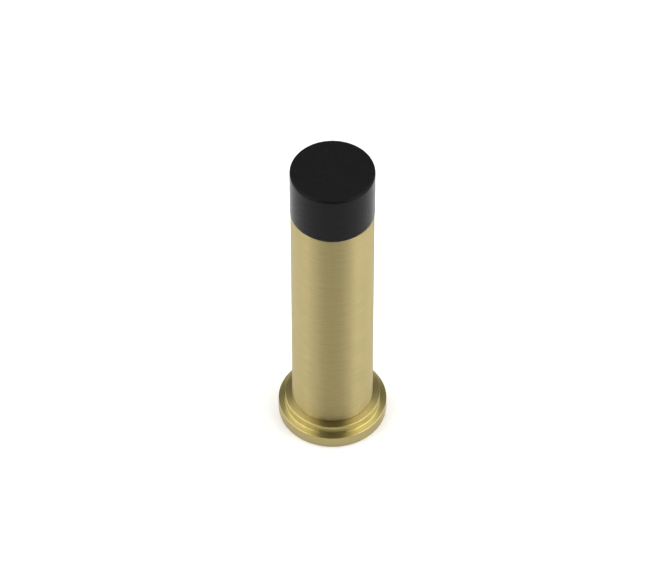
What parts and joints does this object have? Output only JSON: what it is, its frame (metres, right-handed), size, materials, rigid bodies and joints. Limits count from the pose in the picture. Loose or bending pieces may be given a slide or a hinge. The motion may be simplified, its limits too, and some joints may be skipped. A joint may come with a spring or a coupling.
{
  "type": "wall door stop",
  "caption": "Cylindrical wall door stop: a satin brass bar on a stepped round rose, with a black rubber buffer on its outer end and a tapped hole in its foot for a wall screw.",
  "frame": {"origin": "centre of the rose's wall face, on the stop's axis", "axes": "+Z along the stop's axis, away from the wall and towards the rubber buffer"},
  "size_m": [0.0296, 0.0296, 0.0946],
  "materials": {
    "rose_brass": "satin, turned",
    "body_brass": "satin, brushed around the axis",
    "buffer_rubber": "matte, moulded"
  },
  "bodies": {
    "root": {"stepped_rose": "rose_brass", "stop_body": "body_brass", "rubber_buffer": "buffer_rubber"}
  },
  "joints": []
}
